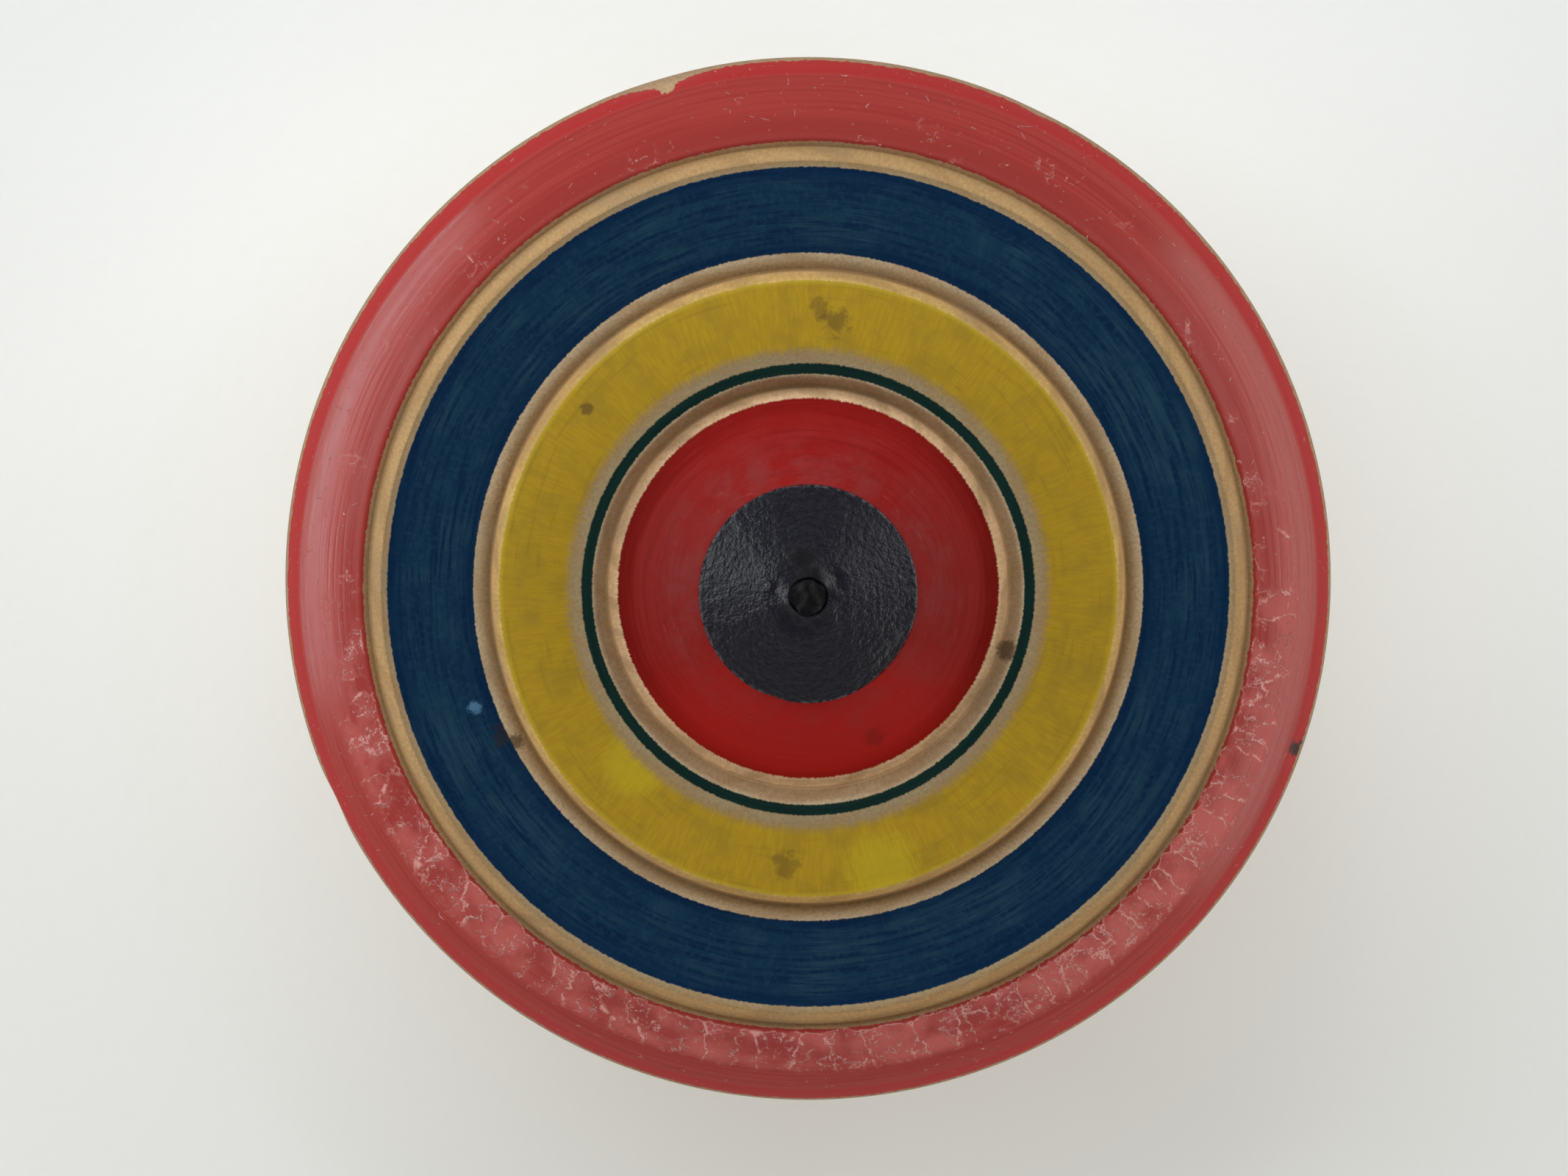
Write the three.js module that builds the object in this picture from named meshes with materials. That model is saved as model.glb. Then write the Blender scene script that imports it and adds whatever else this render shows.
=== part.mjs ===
// A turned wooden throwing top. A wide hardwood body has a wooden axle pressed through its bore:
// the axle's black cone is the head, round which the throwing cord starts, and its other end is the
// foot. An iron pin is driven into each end of the axle, and the lower one is what the top spins on.
// Millimetres, +Z up along the spin axis. The origin is where the lower pin touches the floor.

import * as THREE from "three";

// Driving dimensions
const bodyRadius = 38;
const widestHeight = 30;
const baseHeight = 9.5;
const baseRadius = 8;
const shankRadius = 5;
const pinRadius = 1.35;
const gap = 0.3; // between pieces that fit together

// Turned steps of the body's upper side, from the rim inwards. A rise is above the widest line.
const creaseRadius = 37;
const creaseRise = 3.1;
const shoulderControlRadius = 34.5;
const shoulderControlRise = 5.6;
const redLipRadius = 32.4;
const redLipRise = 6.7;
const outerGrooveRadius = 31.8;
const outerGrooveRise = 6.1;
const faceOuterRadius = 31.1;
const faceInnerRadius = 24.2;
const faceRise = 8.2;
const middleGrooveRadius = 23.1;
const middleGrooveRise = 7.8;
const crestOuterRadius = 22.4;
const crestOuterRise = 9.9;
const crestInnerRadius = 15.7;
const crestRise = 10.7;
const innerGrooveRadius = 14.6;
const innerGrooveRise = 8.7;
const bossRadius = 13.8;
const bossRise = 9.4;
const seatRadius = 7.9;
const seatRise = 14.5;

// Axle
const headRadius = 7.9;
const headEdge = 0.5; // height of the head's short upright side
const headRise = 3.1; // height of the cone above that side
const headTopRadius = 1.9;
const footEndRadius = 2.9;
const footEndHeight = 3.4;

// Pins
const headPinLength = 12;
const headPinStand = 0.5; // how far the upper pin stands out of the head
const tipPinLength = 17;
const tipFlatRadius = 0.6;
const tipTaper = 1.6;
const pinPoint = 2.5; // length of the sharpened end inside the wood
const pinBevel = 0.25;

// Fineness of the turned surfaces
const bodySegments = 72;
const pinSegments = 32;
const curveSteps = 8;

// Heights that follow from the dimensions above
const boreRadius = shankRadius + gap;
const pinHoleRadius = pinRadius + gap;
const seatHeight = widestHeight + seatRise;
const headBottom = seatHeight + gap;
const headTop = headBottom + headEdge + headRise;
const headPinTop = headTop + headPinStand;
const headPinBottom = headPinTop - headPinLength;

const turnedMaterial = (color, roughness, metalness) => (
  new THREE.MeshStandardMaterial({ color, roughness, metalness })
);

// Turns an outline about +Z. The outline runs with the solid on its left, as [radius, height].
function turned(name, outline, segments, material) {
  const geometry = new THREE.LatheGeometry(outline, segments);
  geometry.rotateX(Math.PI / 2);
  const mesh = new THREE.Mesh(geometry, material);
  mesh.name = name;
  return mesh;
}

function makeBody() {
  const rise = (height) => widestHeight + height;
  const outline = new THREE.Path();
  outline.moveTo(boreRadius, baseHeight);
  outline.lineTo(baseRadius, baseHeight);
  const bowlDepth = widestHeight - baseHeight;
  outline.bezierCurveTo(
    0.58 * bodyRadius, baseHeight + 0.02 * bowlDepth,
    bodyRadius, baseHeight + 0.5 * bowlDepth,
    bodyRadius, widestHeight,
  );
  outline.quadraticCurveTo(
    bodyRadius - 0.1, rise(0.6 * creaseRise),
    creaseRadius, rise(creaseRise),
  );
  outline.quadraticCurveTo(
    shoulderControlRadius, rise(shoulderControlRise),
    redLipRadius, rise(redLipRise),
  );
  outline.lineTo(outerGrooveRadius, rise(outerGrooveRise));
  outline.lineTo(faceOuterRadius, rise(faceRise));
  outline.lineTo(faceInnerRadius, rise(faceRise));
  outline.lineTo(middleGrooveRadius, rise(middleGrooveRise));
  outline.lineTo(crestOuterRadius, rise(crestOuterRise));
  outline.quadraticCurveTo(
    0.5 * (crestOuterRadius + crestInnerRadius), rise(crestRise + 0.2),
    crestInnerRadius, rise(crestRise),
  );
  outline.lineTo(innerGrooveRadius, rise(innerGrooveRise));
  outline.lineTo(bossRadius, rise(bossRise));
  outline.lineTo(seatRadius, seatHeight);
  outline.lineTo(boreRadius, seatHeight);
  outline.lineTo(boreRadius, baseHeight);
  const material = turnedMaterial(0x9e4038, 0.5, 0);
  return turned("body", outline.getPoints(curveSteps), bodySegments, material);
}

function makeAxle() {
  const outline = new THREE.Path();
  const tipHoleTop = tipPinLength + gap;
  outline.moveTo(0, tipHoleTop);
  outline.lineTo(pinHoleRadius, tipHoleTop);
  outline.lineTo(pinHoleRadius, footEndHeight);
  outline.lineTo(footEndRadius, footEndHeight);
  outline.lineTo(shankRadius, baseHeight - gap);
  outline.lineTo(shankRadius, headBottom);
  outline.lineTo(headRadius, headBottom);
  outline.lineTo(headRadius, headBottom + headEdge);
  outline.lineTo(headTopRadius, headTop);
  outline.lineTo(pinHoleRadius, headTop);
  outline.lineTo(pinHoleRadius, headPinBottom - gap);
  outline.lineTo(0, headPinBottom - gap);
  const material = turnedMaterial(0x26262b, 0.35, 0);
  return turned("axle", outline.getPoints(curveSteps), bodySegments, material);
}

function makeHeadPin() {
  const outline = new THREE.Path();
  outline.moveTo(0, headPinBottom);
  outline.lineTo(pinRadius, headPinBottom + pinPoint);
  outline.lineTo(pinRadius, headPinTop - pinBevel);
  outline.lineTo(pinRadius - pinBevel, headPinTop);
  outline.lineTo(0, headPinTop);
  const material = turnedMaterial(0x1a1a1f, 0.45, 0.8);
  return turned("head_pin", outline.getPoints(curveSteps), pinSegments, material);
}

function makeTipPin() {
  const outline = new THREE.Path();
  outline.moveTo(0, 0);
  outline.lineTo(tipFlatRadius, 0);
  outline.quadraticCurveTo(pinRadius, 0.2 * tipTaper, pinRadius, tipTaper);
  outline.lineTo(pinRadius, tipPinLength - pinPoint);
  outline.lineTo(0, tipPinLength);
  const material = turnedMaterial(0x6f6d69, 0.4, 0.9);
  return turned("tip_pin", outline.getPoints(curveSteps), pinSegments, material);
}

const group = new THREE.Group();
group.add(makeBody(), makeAxle(), makeHeadPin(), makeTipPin());

export default group;
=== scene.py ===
"""A turned wooden throwing top: fine surfaces, paint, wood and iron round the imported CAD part."""

import math

import bmesh
import bpy
import numpy as np
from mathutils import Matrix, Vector, noise


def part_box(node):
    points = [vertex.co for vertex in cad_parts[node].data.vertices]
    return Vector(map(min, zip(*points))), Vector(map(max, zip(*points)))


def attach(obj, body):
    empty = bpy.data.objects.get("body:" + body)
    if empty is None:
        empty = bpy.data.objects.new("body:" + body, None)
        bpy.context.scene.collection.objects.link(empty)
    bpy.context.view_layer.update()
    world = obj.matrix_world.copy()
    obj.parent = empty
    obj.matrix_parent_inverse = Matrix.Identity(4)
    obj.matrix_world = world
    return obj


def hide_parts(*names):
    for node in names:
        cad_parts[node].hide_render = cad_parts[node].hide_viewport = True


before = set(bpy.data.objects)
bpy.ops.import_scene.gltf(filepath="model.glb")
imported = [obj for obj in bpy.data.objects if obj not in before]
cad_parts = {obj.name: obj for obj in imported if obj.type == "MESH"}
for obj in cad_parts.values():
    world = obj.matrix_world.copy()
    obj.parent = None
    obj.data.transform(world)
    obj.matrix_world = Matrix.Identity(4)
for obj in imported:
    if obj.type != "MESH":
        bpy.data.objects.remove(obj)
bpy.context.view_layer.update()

# Sizes in millimetres. Heights named "rise" are above the widest line.
MM = 0.001
body_low, body_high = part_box("body")
axle_low, axle_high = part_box("axle")
head_pin_low, head_pin_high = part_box("head_pin")
tip_pin_low, tip_pin_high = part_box("tip_pin")
BODY_RADIUS = body_high.x / MM
SEAT_HEIGHT = body_high.z / MM
BASE_HEIGHT = body_low.z / MM
SEAT_RISE = 14.5
WIDEST_HEIGHT = SEAT_HEIGHT - SEAT_RISE
HEAD_RADIUS = axle_high.x / MM
HEAD_TOP = axle_high.z / MM
FOOT_END = axle_low.z / MM
PIN_RADIUS = head_pin_high.x / MM
HEAD_PIN_TOP = head_pin_high.z / MM

# The body's turned steps, from the rim inwards: radius and rise
CREASE = (37.0, 3.1)
RED_LIP = (32.4, 6.85)
OUTER_GROOVE = (31.8, 6.4)
FACE_BEAD = (31.0, 8.4)
FACE_OUTER = (30.5, 8.15)
FACE_INNER = (24.2, 8.15)
MIDDLE_BEAD = (23.55, 8.3)
MIDDLE_GROOVE = (23.05, 8.0)
CREST_OUTER = (22.4, 9.9)
CREST_INNER = (15.5, 10.7)
INNER_GROOVE = (14.6, 8.7)
BOSS_FOOT = (13.8, 9.4)
BASE_RADIUS = 8.0
SHANK_RADIUS = 5.0
FOOT_END_RADIUS = 2.9
HEAD_SIDE = 0.75  # height of the head's upright side
FIT = 0.04  # the hairline left round a pressed or driven piece

# Where each paint ends, as radii
RED_INNER = 32.25
INDIGO_OUTER = 30.5
YELLOW_INNER = 17.4
GREEN_OUTER = 16.4
GREEN_INNER = 15.62

# Fineness of the turned meshes
BODY_SEGMENTS = 440
AXLE_SEGMENTS = 256
PIN_SEGMENTS = 96
FINE_STEP = 0.35
BOWL_STEP = 0.8
PIN_STEP = 0.15
BORE_STEP = 5.0

# Where the rim is damaged, in degrees round from +X, in the mesh and in the paint
FLAKE_ANGLE = 106
DENT_ANGLE = -19

# Bruises in the body's rim and in the head's edge: degrees, rise, width, height and depth.
# On the head, the rise is above its seat.
RIM_BRUISES = (
    (FLAKE_ANGLE, 0.6, 2.2, 0.9, 0.45),
    (DENT_ANGLE, 1.6, 0.7, 0.6, 0.35),
    (64, 0.2, 1.2, 0.7, 0.2),
    (205, -0.4, 1.8, 0.8, 0.2),
)
HEAD_BRUISES = (
    (-40, HEAD_SIDE, 2.6, 0.5, 0.28),
    (96, HEAD_SIDE, 0.5, 0.3, 0.2),
    (-108, HEAD_SIDE, 0.6, 0.3, 0.15),
)

# Where torn end grain shows, as the radii round each groove
TORN_BANDS = ((30.7, 32.3), (22.5, 24.1), (13.9, 15.6))


# ---------------------------------------------------------------- turned shapes

def stretch(step, *controls):
    """Points along a Bezier curve, or a straight line if it has two controls, without its end.

    They are about step apart, and closer towards the two ends, so that corners come out crisp.
    """
    length = sum(math.dist(a, b) for a, b in zip(controls, controls[1:]))
    count = max(1, round(length / step))
    share = (0.5 - 0.5 * np.cos(math.pi * np.arange(count) / count))[:, None]
    points = [np.tile(np.array(c, float), (count, 1)) for c in controls]
    while len(points) > 1:
        points = [a + (b - a) * share for a, b in zip(points, points[1:])]
    return points[0]


def worn_round(outline, passes):
    """The outline with its corners worn round. Its two ends stay where they are."""
    outline = outline.copy()
    for _ in range(passes):
        outline[1:-1] = (outline[:-2] + 2 * outline[1:-1] + outline[2:]) / 4
    return outline


def turned(outline, segments):
    """A grid of points, ring by ring, made by turning an outline of [radius, height] about +Z."""
    angle = np.arange(segments) * math.tau / segments
    radius, height = outline[:, :1], outline[:, 1:]
    return np.stack(
        [radius * np.cos(angle), radius * np.sin(angle), height + 0 * angle], axis=-1
    )


def skinned(name, points, closed):
    """A mesh object over a grid of points in millimetres. The outline had the solid on its left."""
    rings, segments = points.shape[:2]
    ring = np.arange(rings if closed else rings - 1)[:, None]
    step = np.arange(segments)[None, :]
    here, above = ring * segments, (ring + 1) % rings * segments
    after = (step + 1) % segments
    faces = np.stack([here + step, here + after, above + after, above + step], axis=-1)
    mesh = bpy.data.meshes.new(name)
    mesh.from_pydata((points.reshape(-1, 3) * MM).tolist(), [], faces.reshape(-1, 4).tolist())
    sheet = bmesh.new()
    sheet.from_mesh(mesh)
    bmesh.ops.remove_doubles(sheet, verts=sheet.verts, dist=1e-7)
    sheet.to_mesh(mesh)
    sheet.free()
    mesh.polygons.foreach_set("use_smooth", [True] * len(mesh.polygons))
    mesh.set_sharp_from_angle(angle=math.radians(42))
    piece = bpy.data.objects.new(name, mesh)
    bpy.context.scene.collection.objects.link(piece)
    return piece


def rise(corner):
    return corner[0], WIDEST_HEIGHT + corner[1]


def body_outline():
    bore = SHANK_RADIUS + FIT
    depth = WIDEST_HEIGHT - BASE_HEIGHT
    widest = (BODY_RADIUS, WIDEST_HEIGHT)
    under = np.concatenate([
        stretch(BOWL_STEP, (bore, BASE_HEIGHT), (BASE_RADIUS, BASE_HEIGHT)),
        stretch(
            BOWL_STEP,
            (BASE_RADIUS, BASE_HEIGHT),
            (0.58 * BODY_RADIUS, BASE_HEIGHT + 0.02 * depth),
            (BODY_RADIUS, BASE_HEIGHT + 0.5 * depth),
            widest,
        ),
    ])
    corners = (
        RED_LIP, OUTER_GROOVE, FACE_BEAD, FACE_OUTER,
        FACE_INNER, MIDDLE_BEAD, MIDDLE_GROOVE, CREST_OUTER,
    )
    upper = [
        stretch(FINE_STEP, widest, rise((BODY_RADIUS - 0.38, 1.75)), rise(CREASE)),
        stretch(FINE_STEP, rise(CREASE), rise((34.5, 5.6)), rise(RED_LIP)),
    ]
    upper += [stretch(FINE_STEP, rise(a), rise(b)) for a, b in zip(corners, corners[1:])]
    crest_middle = (0.5 * (CREST_OUTER[0] + CREST_INNER[0]), CREST_INNER[1] + 0.2)
    upper += [
        stretch(FINE_STEP, rise(CREST_OUTER), rise(crest_middle), rise(CREST_INNER)),
        stretch(FINE_STEP, rise(CREST_INNER), rise(INNER_GROOVE)),
        stretch(FINE_STEP, rise(INNER_GROOVE), rise(BOSS_FOOT)),
        stretch(FINE_STEP, rise(BOSS_FOOT), (HEAD_RADIUS, SEAT_HEIGHT)),
        stretch(FINE_STEP, (HEAD_RADIUS, SEAT_HEIGHT), (bore, SEAT_HEIGHT)),
    ]
    seam = np.array([[bore, SEAT_HEIGHT]])
    bore_wall = stretch(BORE_STEP, (bore, SEAT_HEIGHT), (bore, BASE_HEIGHT))[1:]
    return np.concatenate([under, worn_round(np.concatenate(upper), 2), seam, bore_wall])


def axle_outline():
    hole = PIN_RADIUS + FIT
    seat = SEAT_HEIGHT + FIT
    head_edge = seat + HEAD_SIDE
    tip_hole_top = tip_pin_high.z / MM + FIT
    head_hole_bottom = head_pin_low.z / MM - FIT
    corners = [
        (0, tip_hole_top),
        (hole, tip_hole_top),
        (hole, FOOT_END),
        (FOOT_END_RADIUS, FOOT_END),
        (SHANK_RADIUS, BASE_HEIGHT - 0.3),
        (SHANK_RADIUS, seat),
        (HEAD_RADIUS, seat),
        (HEAD_RADIUS, head_edge),
        (hole + 0.1, HEAD_TOP),
        (hole, HEAD_TOP),
        (hole, head_hole_bottom),
        (0, head_hole_bottom),
    ]
    parts = [stretch(FINE_STEP, a, b) for a, b in zip(corners, corners[1:])]
    return np.concatenate([*parts, [corners[-1]]])


def pin_outline(low, high, low_radius, high_radius, low_taper, high_taper):
    """A driven iron pin: its two ends taper to the radii given, over the lengths given."""
    corners = [
        (0, low),
        (low_radius, low),
        (PIN_RADIUS, low + low_taper),
        (PIN_RADIUS, high - high_taper),
        (high_radius, high),
        (0, high),
    ]
    parts = [stretch(PIN_STEP, a, b) for a, b in zip(corners, corners[1:])]
    return worn_round(np.concatenate([*parts, [corners[-1]]]), 2)


# ---------------------------------------------------------------- wear in the mesh itself

def polar(points):
    return np.hypot(points[..., 0], points[..., 1]), np.arctan2(points[..., 1], points[..., 0])


def pull_in(points, amount):
    """Moves each point towards the axis by its amount."""
    radius, _ = polar(points)
    share = 1 - amount / np.maximum(radius, 1e-6)
    points[..., 0] *= share
    points[..., 1] *= share


def chip(points, degrees, height, width, tall, depth):
    """A bruise or a missing flake in a turned edge, deepest at that angle and height."""
    radius, angle = polar(points)
    across = np.angle(np.exp(1j * (angle - math.radians(degrees)))) * radius / width
    up = (points[..., 2] - height) / tall
    pull_in(points, depth * np.exp(-(across**2 + up**2)))


def roughen(points, chosen, depth, scale):
    """Moves the chosen points up and down: torn end grain, lumpy paint or a hammered pin."""
    for index in zip(*np.nonzero(chosen)):
        points[index][2] += depth * noise.noise(Vector(points[index] * scale))


def make_body():
    points = turned(body_outline(), BODY_SEGMENTS)
    radius, _ = polar(points)
    above = points[..., 2] > WIDEST_HEIGHT
    for inner, outer in TORN_BANDS:
        roughen(points, (radius > inner) & (radius < outer) & above, 0.05, 2.3)
    for degrees, bruise_rise, width, tall, depth in RIM_BRUISES:
        chip(points, degrees, WIDEST_HEIGHT + bruise_rise, width, tall, depth)
    return skinned("turned_body", points, closed=True)


def make_axle():
    points = turned(axle_outline(), AXLE_SEGMENTS)
    radius, _ = polar(points)
    cone = (points[..., 2] > SEAT_HEIGHT + HEAD_SIDE + 0.05) & (radius > PIN_RADIUS + 2 * FIT)
    roughen(points, cone, 0.05, 1.1)
    collar = points[..., 2] > HEAD_TOP - 0.6
    points[..., 2] -= 0.15 * collar
    roughen(points, collar, 0.3, 0.8)
    for degrees, bruise_rise, width, tall, depth in HEAD_BRUISES:
        chip(points, degrees, SEAT_HEIGHT + bruise_rise, width, tall, depth)
    return skinned("turned_axle", points, closed=False)


def make_pins():
    head_outline = pin_outline(head_pin_low.z / MM, HEAD_PIN_TOP, 0.1, 0.75, 2.5, 0.3)
    tip_outline = pin_outline(tip_pin_low.z / MM, tip_pin_high.z / MM, 0.6, 0.1, 1.6, 2.5)
    head = turned(head_outline, PIN_SEGMENTS)
    tip = turned(tip_outline, PIN_SEGMENTS)
    hammered = head[..., 2] > HEAD_PIN_TOP - 0.45
    head[..., 2] -= 0.25 * hammered
    roughen(head, hammered, 0.3, 1.1)
    return (
        skinned("iron_head_pin", head, closed=False),
        skinned("iron_tip_pin", tip, closed=False),
    )


# ---------------------------------------------------------------- materials

def srgb(red, green, blue):
    """A colour given as it looks on a screen, from 0 to 255, as Blender's linear values."""
    def linear(level):
        share = level / 255
        return share / 12.92 if share <= 0.04045 else ((share + 0.055) / 1.055) ** 2.4
    return linear(red), linear(green), linear(blue), 1.0


class Graph:
    """The nodes of one material or world, added by short calls that give back their sockets."""

    def __init__(self, owner):
        owner.use_nodes = True
        self.owner = owner
        self.tree = owner.node_tree
        self.tree.nodes.clear()

    def node(self, kind, **settings):
        made = self.tree.nodes.new("ShaderNode" + kind)
        for key, value in settings.items():
            setattr(made, key, value)
        return made

    def feed(self, socket, value):
        if isinstance(value, bpy.types.NodeSocket):
            self.tree.links.new(value, socket)
        else:
            socket.default_value = value

    def math(self, operation, *values):
        made = self.node("Math", operation=operation)
        for socket, value in zip(made.inputs, values):
            self.feed(socket, value)
        return made.outputs[0]

    def add(self, a, b):
        return self.math("ADD", a, b)

    def times(self, a, b):
        return self.math("MULTIPLY", a, b)

    def either(self, a, b):
        return self.math("MAXIMUM", a, b)

    def centred(self, value):
        """Noise from 0 to 1, moved to lie round zero."""
        return self.math("SUBTRACT", value, 0.5)

    def length(self, x, y):
        """The length of (x, y), never quite 0."""
        square = self.add(self.times(x, x), self.times(y, y))
        return self.math("SQRT", self.add(square, 1e-6))

    def ramp(self, value, start, end, low=0.0, high=1.0):
        """low up to start, high from end on, and smooth between."""
        made = self.node("MapRange", interpolation_type="SMOOTHSTEP")
        for socket, number in zip(made.inputs, (value, start, end, low, high)):
            self.feed(socket, number)
        return made.outputs[0]

    def fade(self, value, start, end):
        """1 up to start, and 0 from end on."""
        return self.ramp(value, start, end, 1.0, 0.0)

    def between(self, value, low, high, soft):
        """1 from low to high, and 0 outside them."""
        past_low = self.ramp(value, low - soft, low + soft)
        return self.times(past_low, self.fade(value, high - soft, high + soft))

    def vector(self, x, y, z):
        made = self.node("CombineXYZ")
        for socket, value in zip(made.inputs, (x, y, z)):
            self.feed(socket, value)
        return made.outputs[0]

    def noise(self, vector, scale, detail=2.0, roughness=0.5):
        made = self.node("TexNoise")
        self.feed(made.inputs["Vector"], vector)
        made.inputs["Scale"].default_value = scale
        made.inputs["Detail"].default_value = detail
        made.inputs["Roughness"].default_value = roughness
        return made.outputs[0]

    def cell_edges(self, vector, scale):
        """The distance to the nearest edge of a pattern of random cells."""
        made = self.node("TexVoronoi", feature="DISTANCE_TO_EDGE")
        self.feed(made.inputs["Vector"], vector)
        made.inputs["Scale"].default_value = scale
        return made.outputs[0]

    def tones(self, value, span, stops):
        """A colour that follows value through (value, colour) stops, from 0 to span."""
        made = self.node("ValToRGB")
        self.feed(made.inputs[0], self.times(value, 1 / span))
        while len(made.color_ramp.elements) < len(stops):
            made.color_ramp.elements.new(1.0)
        for element, (position, colour) in zip(made.color_ramp.elements, stops):
            element.position = position / span
            element.color = srgb(*colour)
        return made.outputs[0]

    def colour(self, share, under, over, blend="MIX"):
        """The colour under, and the colour over where share is 1."""
        made = self.node("Mix", data_type="RGBA", blend_type=blend)
        for index, value in ((0, share), (6, under), (7, over)):
            self.feed(made.inputs[index], value)
        return made.outputs[2]

    def tint(self, colour, share, over):
        """The colour, turned by that share into a screen colour."""
        return self.colour(share, colour, srgb(*over))

    def level(self, share, under, over):
        """The number under, and the number over where share is 1."""
        made = self.node("Mix", data_type="FLOAT")
        for index, value in ((0, share), (2, under), (3, over)):
            self.feed(made.inputs[index], value)
        return made.outputs[0]

    def finish(self, coat, specular, metallic=0.0):
        """Closes the material: colour, roughness and a bump from a height in millimetres."""
        colour, roughness, height = coat
        bump = self.node("Bump")
        bump.inputs["Distance"].default_value = MM
        self.feed(bump.inputs["Height"], height)
        shader = self.node("BsdfPrincipled")
        self.feed(shader.inputs["Base Color"], colour)
        self.feed(shader.inputs["Roughness"], roughness)
        shader.inputs["Metallic"].default_value = metallic
        shader.inputs["Specular IOR Level"].default_value = specular
        self.feed(shader.inputs["Normal"], bump.outputs[0])
        output = self.node("OutputMaterial")
        self.tree.links.new(shader.outputs[0], output.inputs[0])
        return self.owner


class TurnedSpace:
    """Where a point is on a turned piece, in millimetres."""

    def __init__(self, graph):
        self.graph = graph
        scaled = graph.node("VectorMath", operation="SCALE")
        graph.feed(scaled.inputs[0], graph.node("TexCoord").outputs["Object"])
        scaled.inputs["Scale"].default_value = 1 / MM
        self.point = scaled.outputs[0]
        split = graph.node("SeparateXYZ")
        graph.feed(split.inputs[0], self.point)
        self.x, self.y, self.z = split.outputs
        self.radius = graph.length(self.x, self.y)
        self.east = graph.math("DIVIDE", self.x, self.radius)
        self.north = graph.math("DIVIDE", self.y, self.radius)
        self.along = graph.math("SUBTRACT", self.radius, self.z)

    def around(self, turns, across):
        """A vector for streaks, which changes by turns in a radian round and by across in a mm."""
        graph = self.graph
        return graph.vector(
            graph.times(self.east, turns),
            graph.times(self.north, turns),
            graph.times(self.along, across),
        )

    def ragged(self):
        """Noise round zero, for edges that wander and fray along the grain."""
        wander = self.graph.noise(self.point, 1.2, 2.0, 0.6)
        ticks = self.graph.noise(self.around(95.0, 0.8), 1.0, 1.0)
        return self.graph.centred(self.graph.level(0.85, wander, ticks))

    def smudged(self):
        """Noise round zero, for marks with no clear outline."""
        noise_here = self.graph.noise(self.point, 1.3, 4.0, 0.7)
        return self.graph.times(self.graph.centred(noise_here), 3.0)

    def spot(self, degrees, radius, size, ragged):
        """1 inside a mark at that angle and radius, with a ragged edge."""
        graph = self.graph
        angle = math.radians(degrees)
        dx = graph.math("SUBTRACT", self.x, radius * math.cos(angle))
        dy = graph.math("SUBTRACT", self.y, radius * math.sin(angle))
        away = graph.add(graph.length(dx, dy), graph.times(ragged, size))
        return graph.fade(away, 0.55 * size, 1.25 * size)


def lay(graph, under, over, share):
    """One coat over another, where share is 1."""
    return (
        graph.colour(share, under[0], over[0]),
        graph.level(share, under[1], over[1]),
        graph.level(share, under[2], over[2]),
    )


# The bare wood's tone from the axis outwards: grey where hands and dust reach, with painted
# shade that makes the bottom of each groove brown, and painted light that makes the risers pale
WOOD_AND_SHADE_TONES = (
    (0.0, (196, 160, 112)),
    (13.8, (248, 212, 170)),
    (14.4, (240, 200, 154)),
    (14.6, (148, 120, 88)),
    (14.9, (164, 140, 106)),
    (15.3, (166, 142, 110)),
    (15.5, (180, 162, 132)),
    (16.4, (150, 133, 102)),
    (17.6, (140, 118, 84)),
    (22.4, (206, 172, 104)),
    (22.9, (200, 162, 108)),
    (23.02, (122, 94, 62)),
    (23.5, (146, 120, 86)),
    (23.65, (156, 132, 100)),
    (24.2, (178, 158, 130)),
    (30.5, (160, 142, 112)),
    (30.95, (150, 124, 88)),
    (31.05, (182, 149, 105)),
    (31.75, (180, 146, 100)),
    (31.85, (138, 106, 70)),
    (32.3, (168, 138, 104)),
    (37.4, (176, 146, 110)),
    (38.0, (150, 122, 92)),
)


# The bowl below is cleaner, and darker at the widest line
BOWL_TONES = (
    (0.0, (196, 162, 116)),
    (34.0, (206, 174, 130)),
    (37.4, (176, 146, 110)),
    (38.0, (150, 122, 92)),
)


def bare_wood(graph, space, tones=WOOD_AND_SHADE_TONES):
    """Hardwood, with its growth rings seen from the end above and from the side on the bowl."""
    from_pith = graph.length(graph.add(space.x, 7.0), graph.add(space.y, -5.0))
    year = graph.add(from_pith, graph.times(graph.noise(space.point, 0.07, 1.0), 8.0))
    late_wood = graph.ramp(graph.math("SINE", graph.times(year, 2.6)), 0.2, 1.0)
    grain = graph.vector(
        graph.times(space.x, 4.2),
        graph.times(space.y, 4.2),
        graph.times(space.z, 0.24),
    )
    fibre = graph.noise(grain, 1.0, 3.0, 0.65)
    uneven = graph.centred(fibre)
    wander = graph.add(space.radius, graph.times(uneven, 0.12))
    colour = graph.tones(wander, BODY_RADIUS, tones)
    shade = graph.tones(fibre, 1.0, ((0.3, (224, 218, 210)), (0.7, (255, 255, 255))))
    colour = graph.colour(1.0, colour, shade, "MULTIPLY")
    colour = graph.tint(colour, graph.times(late_wood, 0.3), (140, 106, 68))
    soiled = graph.ramp(graph.noise(space.point, 0.2, 2.0), 0.45, 0.7, 0.0, 0.3)
    colour = graph.tint(colour, soiled, (126, 110, 88))
    for degrees, radius, size in ((-17.5, 15.1, 0.8), (-152, 24.0, 0.6)):
        stain = graph.times(space.spot(degrees, radius, size, uneven), 0.75)
        colour = graph.tint(colour, stain, (62, 46, 30))
    return colour, graph.level(fibre, 0.78, 0.64), graph.times(fibre, 0.04)


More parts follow.
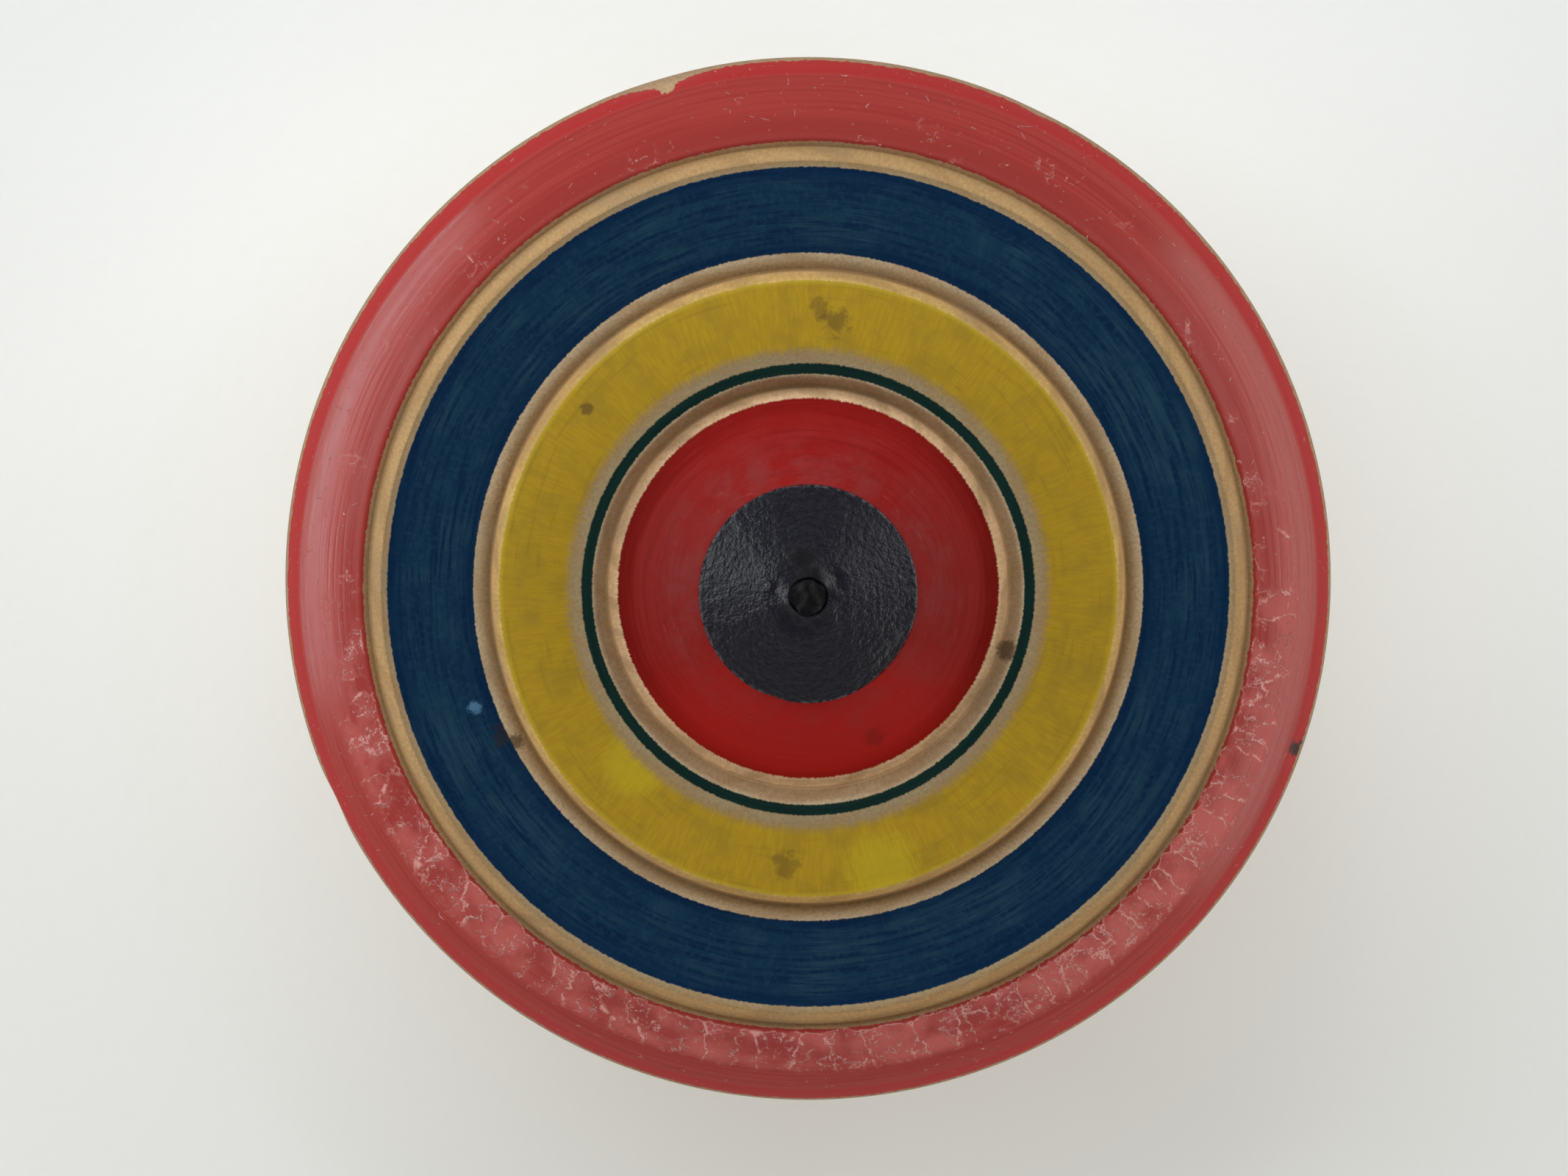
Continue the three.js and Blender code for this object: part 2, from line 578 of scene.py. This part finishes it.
def streaky(graph, streak, deep, main, pale, cloud):
    """Paint put on while the piece turned: streaks from deep to main, paler where cloud is high."""
    colour = graph.tint(srgb(*deep), graph.ramp(streak, 0.34, 0.56), main)
    thin = graph.times(graph.ramp(cloud, 0.42, 0.68), graph.ramp(streak, 0.4, 0.66))
    return graph.tint(colour, thin, pale)


def painted_side_shade(graph, space, colour, depth):
    """Painted shade: the colour, deeper by up to that share towards the +X and -X sides."""
    share = graph.times(graph.times(space.east, space.east), depth)
    return graph.tint(colour, share, (20, 10, 0))


def crackle(graph, space):
    """Short lines where the thick lacquer has cracked, and a haze in scallops between them."""
    bend = graph.noise(space.point, 0.9, 4.0, 0.62)
    broken = graph.noise(space.point, 1.7, 2.0, 0.6)
    bent = graph.vector(
        graph.add(graph.times(space.east, 20.0), graph.times(bend, 1.5)),
        graph.add(graph.times(space.north, 20.0), graph.times(bend, -1.5)),
        graph.add(graph.times(space.along, 0.16), graph.times(bend, 1.2)),
    )
    cell = graph.cell_edges(bent, 0.9)
    fine_cell = graph.cell_edges(bent, 2.4)
    line = graph.either(
        graph.times(graph.fade(cell, 0.0, 0.065), graph.ramp(broken, 0.36, 0.52)),
        graph.times(graph.fade(fine_cell, 0.0, 0.07), graph.ramp(broken, 0.52, 0.64, 0.0, 0.7)),
    )
    south = graph.fade(graph.add(space.north, graph.times(space.east, -0.15)), -0.75, 0.45)
    patch = graph.noise(space.point, 0.32, 3.0)
    cracked = graph.ramp(graph.add(patch, graph.times(south, 0.36)), 0.56, 0.76)
    cracked = graph.times(cracked, graph.fade(space.radius, 34.9, 35.8))
    scallop = graph.add(space.radius, graph.times(cell, 1.3))
    rim = graph.between(scallop, 32.62, 32.72, 0.06)
    line = graph.either(line, graph.times(rim, graph.ramp(broken, 0.36, 0.5)))
    inside = graph.times(cracked, graph.ramp(scallop, 32.5, 32.7))
    haze = graph.times(graph.times(inside, south), graph.ramp(patch, 0.36, 0.62, 0.1, 0.65))
    nick = graph.fade(graph.cell_edges(space.point, 0.55), 0.0, 0.025)
    nick = graph.times(nick, graph.ramp(broken, 0.6, 0.66, 0.0, 0.8))
    return graph.either(graph.times(line, inside), nick), haze


def red_rim(graph, space, ragged):
    """Thick red lacquer from the outer groove over the shoulder to the widest line."""
    streak = graph.noise(space.around(2.0, 2.2), 1.0, 3.0, 0.6)
    colour = streaky(graph, streak, (142, 40, 36), (151, 48, 42), (158, 58, 51), ragged)
    steep = graph.ramp(space.radius, CREASE[0] - 0.25, CREASE[0] + 0.15)
    colour = graph.tint(colour, graph.fade(space.radius, 33.4, 34.6), (140, 42, 37))
    colour = graph.tint(colour, steep, (155, 20, 18))
    line, haze = crackle(graph, space)
    colour = graph.tint(colour, haze, (188, 96, 91))
    dent = space.spot(DENT_ANGLE, 37.4, 0.6, space.smudged())
    colour = graph.tint(colour, dent, (58, 34, 30))
    colour = graph.tint(colour, graph.times(line, 0.75), (214, 156, 147))
    inner_edge = graph.add(space.radius, graph.times(ragged, 0.25))
    lower_edge = graph.add(space.z, graph.times(ragged, 0.9))
    share = graph.times(
        graph.ramp(inner_edge, RED_INNER - 0.05, RED_INNER + 0.05),
        graph.ramp(lower_edge, WIDEST_HEIGHT + 0.6, WIDEST_HEIGHT + 0.9),
    )
    unflaked = graph.fade(space.spot(FLAKE_ANGLE, 37.9, 1.0, ragged), 0.3, 0.7)
    share = graph.times(share, unflaked)
    height = graph.add(graph.times(streak, 0.02), graph.times(line, 0.06))
    dull = graph.either(steep, graph.fade(space.radius, 32.4, 33.0))
    glossy = graph.ramp(streak, 0.35, 0.65, 0.19, 0.3)
    roughness = graph.level(graph.either(dull, haze), glossy, 0.75)
    return (colour, roughness, height), share


def indigo_face(graph, space, ragged):
    """Thin matt indigo on the level face, deeper at its two edges."""
    streak = graph.noise(space.around(5.0, 3.2), 1.0, 4.0, 0.66)
    cloud = graph.noise(space.point, 0.3, 3.0)
    colour = streaky(graph, streak, (4, 30, 56), (11, 41, 64), (26, 55, 70), cloud)
    tick = graph.noise(space.around(80.0, 2.2), 1.0, 2.0)
    colour = graph.tint(colour, graph.ramp(tick, 0.45, 0.7, 0.0, 0.3), (30, 58, 78))
    near_edge = graph.either(
        graph.ramp(space.radius, INDIGO_OUTER - 1.3, INDIGO_OUTER - 0.2),
        graph.fade(space.radius, FACE_INNER[0] + 0.2, FACE_INNER[0] + 1.2),
    )
    colour = graph.tint(colour, graph.times(near_edge, 0.6), (2, 28, 58))
    smudged = space.smudged()
    marks = ((-160, 25.6, 0.5, (78, 116, 146)), (-154, 24.7, 0.8, (34, 34, 38)))
    for degrees, radius, size, tone in marks:
        mark = graph.times(space.spot(degrees, radius, size, smudged), 0.7)
        colour = graph.tint(colour, mark, tone)
    radius = graph.add(space.radius, graph.times(ragged, 0.2))
    share = graph.between(radius, FACE_INNER[0] + 0.05, INDIGO_OUTER, 0.06)
    return (colour, 0.68, graph.times(streak, 0.04)), share


def yellow_crest(graph, space, ragged):
    """A thin yellow stain on the crest, which the fibres soak up unevenly, with a painted highlight
    along its outer edge and painted shade at its +X and -X sides.
    """
    fibre = graph.noise(space.around(95.0, 0.6), 1.0, 2.0, 0.6)
    turning = graph.noise(space.around(3.0, 1.8), 1.0, 3.0, 0.6)
    cloud = graph.noise(space.point, 0.42, 3.0, 0.6)
    colour = graph.tint(srgb(152, 122, 29), graph.ramp(fibre, 0.35, 0.65), (161, 130, 29))
    colour = graph.tint(colour, graph.ramp(cloud, 0.44, 0.68, 0.0, 0.6), (138, 112, 34))
    colour = graph.tint(colour, graph.ramp(turning, 0.56, 0.66, 0.0, 0.35), (126, 102, 30))
    # Painted highlight: a paler line along the crest's outer edge
    rim = graph.ramp(space.radius, CREST_OUTER[0] - 0.45, CREST_OUTER[0] - 0.1)
    colour = graph.tint(colour, graph.times(rim, 0.5), (176, 152, 44))
    for degrees, radius, size in ((-135, 17.8, 2.4), (-75, 21.0, 2.6)):
        lemon = graph.times(space.spot(degrees, radius, size, ragged), 0.5)
        colour = graph.tint(colour, lemon, (176, 156, 30))
    stains = (
        (84, 19.6, 1.0, 0.6),
        (88, 20.4, 0.7, 0.5),
        (141, 20.7, 0.45, 0.75),
        (-95, 20.0, 1.0, 0.5),
    )
    smudged = space.smudged()
    for degrees, radius, size, strength in stains:
        mark = graph.times(space.spot(degrees, radius, size, smudged), strength)
        colour = graph.tint(colour, mark, (92, 70, 32))
    # Painted shade towards the +X and -X sides of the crest
    colour = painted_side_shade(graph, space, colour, 0.12)
    soak = graph.add(space.radius, graph.times(fibre, 0.9))
    outer_edge = graph.add(space.radius, graph.times(ragged, 0.3))
    share = graph.times(
        graph.ramp(soak, YELLOW_INNER, YELLOW_INNER + 0.9),
        graph.fade(outer_edge, CREST_OUTER[0] - 0.12, CREST_OUTER[0] + 0.05),
    )
    return (colour, 0.65, graph.times(fibre, 0.01)), share


def green_line(graph, space, ragged):
    """The thin dark green line inside the crest's bare edge."""
    streak = graph.noise(space.around(3.0, 4.0), 1.0, 2.0)
    colour = graph.tint(srgb(4, 22, 20), streak, (14, 42, 37))
    radius = graph.add(space.radius, graph.times(ragged, 0.22))
    share = graph.between(radius, GREEN_INNER, GREEN_OUTER, 0.07)
    return (colour, 0.55, graph.times(streak, 0.02)), share


def red_boss(graph, space, ragged):
    """Red lacquer on the boss, rubbed dull and pinkish near the head, with painted light on its
    south side and painted shade at its +X and -X sides.
    """
    streak = graph.noise(space.around(1.6, 2.4), 1.0, 3.0, 0.6)
    rubbed = graph.noise(space.point, 0.45, 4.0, 0.68)
    colour = streaky(graph, streak, (128, 18, 16), (136, 23, 20), (140, 30, 28), rubbed)
    # Painted light: the south side of the boss is a brighter red, with less of the rubbed haze
    painted_south_light = graph.fade(space.north, -0.85, -0.35)
    colour = graph.tint(colour, graph.times(painted_south_light, 0.7), (162, 24, 20))
    inwards = graph.ramp(space.radius, 9.4, 12.8, 0.85, 0.0)
    inwards = graph.times(inwards, graph.level(painted_south_light, 1.0, 0.45))
    haze = graph.times(graph.ramp(rubbed, 0.34, 0.74), inwards)
    colour = graph.tint(colour, haze, (129, 45, 45))
    scuff = graph.ramp(graph.noise(space.around(5.0, 2.0), 1.0, 3.0, 0.7), 0.64, 0.72, 0.0, 0.4)
    colour = graph.tint(colour, graph.times(scuff, inwards), (160, 84, 80))
    mark = graph.times(space.spot(-66, 11.7, 0.8, ragged), 0.35)
    colour = graph.tint(colour, mark, (80, 22, 16))
    # Painted shade towards the +X and -X sides of the boss
    colour = painted_side_shade(graph, space, colour, 0.25)
    edge = graph.add(space.radius, graph.times(ragged, 0.25))
    share = graph.fade(edge, BOSS_FOOT[0] - 0.08, BOSS_FOOT[0] + 0.08)
    return (colour, graph.level(rubbed, 0.5, 0.7), graph.times(streak, 0.02)), share


# Each zone of the body, from the axis outwards: its name, its outer radius, its specular
# level and its paints. A zone ends on bare wood, so no edge shows where two meet.
ZONES = (
    ("red_boss", 15.1, 0.1, (red_boss,)),
    ("yellow_crest", 23.65, 0.12, (yellow_crest, green_line)),
    ("indigo_face", 31.45, 0.08, (indigo_face,)),
    ("red_rim", BODY_RADIUS + 1, 0.34, (red_rim,)),
)
BARE_BOWL_TOP = WIDEST_HEIGHT - 1.2


def painted_wood(name, specular, paints, tones=WOOD_AND_SHADE_TONES):
    graph = Graph(bpy.data.materials.new(name))
    space = TurnedSpace(graph)
    ragged = space.ragged()
    coat = bare_wood(graph, space, tones)
    for paint in paints:
        coat = lay(graph, coat, *paint(graph, space, ragged))
    return graph.finish(coat, specular=specular)


def paint_body(body):
    """Gives each zone's faces their own material."""
    mesh = body.data
    for name, _, specular, paints in ZONES:
        mesh.materials.append(painted_wood(name, specular, paints))
    mesh.materials.append(painted_wood("bare_bowl", 0.3, (), BOWL_TONES))
    centres = np.empty(3 * len(mesh.polygons))
    mesh.polygons.foreach_get("center", centres)
    centres = centres.reshape(-1, 3) / MM
    radius = np.hypot(centres[:, 0], centres[:, 1])
    zone = np.searchsorted([outer for _, outer, _, _ in ZONES], radius)
    zone[centres[:, 2] < BARE_BOWL_TOP] = len(ZONES)
    mesh.polygons.foreach_set("material_index", zone.astype(np.int32))


def axle_material():
    """Dirty bare wood with a black painted head that hands have rubbed at its edge, and a painted
    shadow of the pin.
    """
    graph = Graph(bpy.data.materials.new("black_and_bare_wood"))
    space = TurnedSpace(graph)
    coarse = graph.noise(space.point, 2.4, 3.0, 0.6)
    brush = graph.noise(space.around(2.0, 2.6), 1.0, 2.0)
    nib = graph.ramp(graph.noise(space.point, 2.3, 1.0), 0.72, 0.76)
    colour = graph.tint(srgb(8, 8, 15), coarse, (26, 26, 36))
    worn = graph.times(
        graph.ramp(space.radius, HEAD_RADIUS - 0.25, HEAD_RADIUS - 0.02),
        graph.ramp(coarse, 0.44, 0.6),
    )
    colour = graph.tint(colour, graph.times(worn, 0.45), (96, 92, 96))
    height = graph.add(graph.times(coarse, 0.14), graph.times(nib, 0.1))
    height = graph.add(height, graph.times(brush, 0.02))
    uneven = graph.centred(coarse)
    # Painted shadow: a darker, dull streak that runs north from the pin over the cone
    painted_pin_shadow = graph.either(space.spot(92, 1.5, 1.2, uneven), space.spot(98, 2.8, 1.0, uneven))
    colour = graph.tint(colour, graph.times(painted_pin_shadow, 0.75), (5, 5, 9))
    roughness = graph.level(painted_pin_shadow, graph.ramp(coarse, 0.35, 0.65, 0.15, 0.3), 0.8)
    bare = bare_wood(graph, space, BOWL_TONES)
    head = graph.ramp(space.z, SEAT_HEIGHT - 0.2, SEAT_HEIGHT - 0.1)
    return graph.finish(lay(graph, bare, (colour, roughness, height), head), specular=0.38)


def iron_material(name, dark, rusty, bright, worn_below, metallic, specular):
    """Iron that is dark above a height, and worn bright below it."""
    graph = Graph(bpy.data.materials.new(name))
    space = TurnedSpace(graph)
    patch = graph.noise(space.point, 1.6, 4.0, 0.65)
    scores = graph.noise(space.around(3.0, 6.0), 1.0, 3.0)
    colour = graph.tint(srgb(*dark), graph.ramp(patch, 0.45, 0.68), rusty)
    worn = graph.fade(graph.add(space.z, graph.times(patch, 0.8)), worn_below, worn_below + 1.2)
    colour = graph.tint(colour, worn, bright)
    height = graph.add(graph.times(scores, 0.03), graph.times(patch, 0.08))
    return graph.finish((colour, graph.level(worn, 0.5, 0.28), height), specular, metallic)


# ---------------------------------------------------------------- the pieces

def place(piece, node):
    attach(piece, "root")
    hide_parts(node)


painted_iron = iron_material(
    "dark_iron", dark=(8, 8, 12), rusty=(24, 22, 23), bright=(8, 8, 12),
    worn_below=0.0, metallic=0.0, specular=0.15,
)
bare_iron = iron_material(
    "worn_iron", dark=(60, 54, 50), rusty=(92, 62, 44), bright=(176, 172, 166),
    worn_below=1.2, metallic=0.9, specular=0.5,
)

body = make_body()
axle = make_axle()
head_pin, tip_pin = make_pins()
paint_body(body)
axle.data.materials.append(axle_material())
head_pin.data.materials.append(painted_iron)
tip_pin.data.materials.append(bare_iron)
place(body, "body")
place(axle, "axle")
place(head_pin, "head_pin")
place(tip_pin, "tip_pin")


# ---------------------------------------------------------------- floor, light and camera

WINDOW_DISTANCE = 0.6
# Name, azimuth, elevation, degrees across and tall, radiance, colour, and whether gloss shows it
WINDOWS = (
    ("north_east_wall", 60, 50, 44, 32, 1.8, (0.945, 0.98, 1.0), False),
    ("north_west_wall", 118, 50, 44, 32, 2.8, (0.945, 0.98, 1.0), False),
    ("south_wall", 270, 34, 80, 24, 1.65, (1.0, 0.93, 0.81), False),
    ("left_window", 162, 34, 24, 18, 4.0, (0.96, 0.99, 1.0), True),
    ("left_sill", 166, 8, 62, 7, 8.0, (0.96, 0.99, 1.0), True),
    ("right_window", 26, 34, 26, 18, 1.8, (0.97, 0.985, 1.0), True),
    ("right_sill", 0, 9, 80, 12, 3.2, (1.0, 0.97, 0.9), True),
)
CAMERA_DISTANCE = 2.0
CAMERA_LEAN = 4.0
SENSOR_WIDTH = 36.0
FRAME_WIDTH = 3.0 * BODY_RADIUS
AIM = (-1.75, -0.64)
FLOOR_HALF = 4.0  # metres
# Where the painted shade on the floor starts and ends
PAINTED_SHADE_START, PAINTED_SHADE_END = 0.04, 0.075  # metres from the axis, where the floor gets darker


def add_floor():
    """A pale board, with painted shade that makes it a little darker away from the top."""
    corners = [(x * FLOOR_HALF, y * FLOOR_HALF, 0) for x, y in ((-1, -1), (1, -1), (1, 1), (-1, 1))]
    mesh = bpy.data.meshes.new("floor")
    mesh.from_pydata(corners, [], [(0, 1, 2, 3)])
    floor = bpy.data.objects.new("floor", mesh)
    bpy.context.scene.collection.objects.link(floor)
    graph = Graph(bpy.data.materials.new("pale_board"))
    point = graph.node("TexCoord").outputs["Object"]
    cloud = graph.noise(point, 18.0, 3.0)
    tooth = graph.noise(point, 900.0, 1.0)
    colour = graph.tint(srgb(237, 239, 238), cloud, (245, 247, 247))
    away = graph.node("VectorMath", operation="LENGTH")
    graph.feed(away.inputs[0], point)
    # Painted shade: the board darkens away from the top
    dim = graph.ramp(away.outputs["Value"], PAINTED_SHADE_START, PAINTED_SHADE_END)
    colour = graph.tint(colour, dim, (230, 231, 229))
    mesh.materials.append(graph.finish((colour, 0.85, graph.times(tooth, 0.04)), specular=0.2))


def add_window(name, azimuth, elevation, across, tall, radiance, colour, in_gloss):
    """A soft rectangular light that faces the top and covers that many degrees of its sky."""
    light = bpy.data.lights.new(name, "AREA")
    light.shape = "RECTANGLE"
    light.size = 2 * WINDOW_DISTANCE * math.tan(math.radians(across / 2))
    light.size_y = 2 * WINDOW_DISTANCE * math.tan(math.radians(tall / 2))
    light.energy = radiance * math.pi * light.size * light.size_y
    light.color = colour
    turn, lift = math.radians(azimuth), math.radians(elevation)
    level_share = math.cos(lift)
    towards = Vector((math.cos(turn) * level_share, math.sin(turn) * level_share, math.sin(lift)))
    lamp = bpy.data.objects.new(name, light)
    lamp.location = towards * WINDOW_DISTANCE
    lamp.rotation_mode = "QUATERNION"
    lamp.rotation_quaternion = towards.to_track_quat("Z", "Y")
    lamp.visible_glossy = in_gloss
    bpy.context.scene.collection.objects.link(lamp)


def add_room():
    """A dim room that is brighter at the level of its windows than overhead."""
    world = bpy.data.worlds.new("room")
    graph = Graph(world)
    split = graph.node("SeparateXYZ")
    graph.feed(split.inputs[0], graph.node("TexCoord").outputs["Generated"])
    overhead = graph.ramp(split.outputs[2], 0.2, 0.9)
    background = graph.node("Background")
    sky = graph.colour(overhead, (0.47, 0.475, 0.475, 1), (0.165, 0.165, 0.165, 1))
    graph.feed(background.inputs["Color"], sky)
    output = graph.node("OutputWorld")
    graph.tree.links.new(background.outputs[0], output.inputs[0])
    bpy.context.scene.world = world
    bpy.context.scene.view_settings.view_transform = "Standard"


def add_camera():
    """Above the top and a little to its +Y side, with the whole top in view."""
    lean = math.radians(CAMERA_LEAN)
    back = Vector((0, math.sin(lean), math.cos(lean)))
    data = bpy.data.cameras.new("camera")
    data.sensor_width = SENSOR_WIDTH
    data.lens = SENSOR_WIDTH * CAMERA_DISTANCE / (FRAME_WIDTH * MM)
    data.clip_start = 0.01
    camera = bpy.data.objects.new("camera", data)
    camera.location = Vector((*AIM, WIDEST_HEIGHT)) * MM + back * CAMERA_DISTANCE
    camera.rotation_euler = (-lean, 0, 0)
    bpy.context.scene.collection.objects.link(camera)
    bpy.context.scene.camera = camera


add_floor()
for window in WINDOWS:
    add_window(*window)
add_room()
add_camera()
